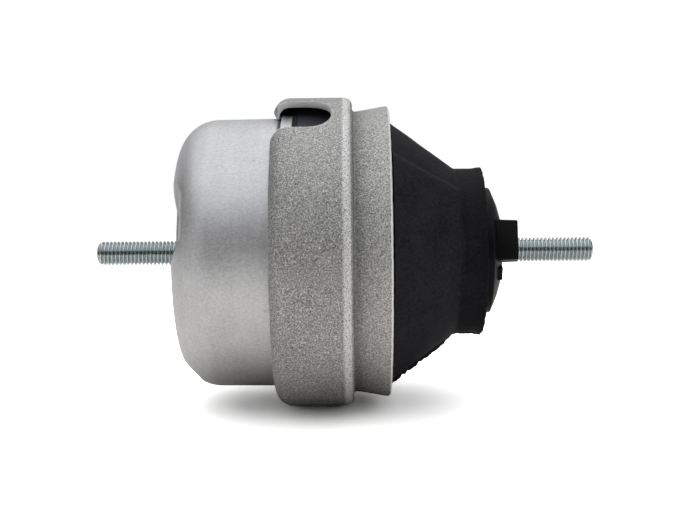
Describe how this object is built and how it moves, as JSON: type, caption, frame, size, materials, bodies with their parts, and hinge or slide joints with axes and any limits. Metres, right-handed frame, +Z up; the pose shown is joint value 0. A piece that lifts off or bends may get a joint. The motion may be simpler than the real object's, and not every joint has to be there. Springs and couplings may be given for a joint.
{
  "type": "engine mount",
  "caption": "Hydraulic engine mount: domed cup crimped into a cast ring, rubber cone spring, and a threaded stud at each end.",
  "frame": {"origin": "centre of the cup's flat seat, on the stud axis, where the lower stud comes out", "axes": "+X along the stud axis from the lower stud towards the upper stud, +Z up with the mount lying on its ring"},
  "size_m": [0.1615, 0.1, 0.1],
  "materials": {
    "drawn_cup": "satin, deep drawn and etched",
    "cast_aluminium": "shot blasted casting",
    "natural_rubber": "matt, moulded",
    "coated_aluminium": "black bonding coat",
    "zinc_plated_steel": "bright zinc plating",
    "black_coated_casting": "die cast, black conversion coat"
  },
  "bodies": {
    "root": {"base_cup": "drawn_cup", "lower_stud": "zinc_plated_steel", "outer_ring": "cast_aluminium", "main_spring": "natural_rubber", "inner_core": "coated_aluminium", "upper_stud": "zinc_plated_steel", "channel_plate": "black_coated_casting", "channel_cover": "black_coated_casting", "decoupler_membrane": "natural_rubber", "diaphragm": "natural_rubber"}
  },
  "joints": []
}
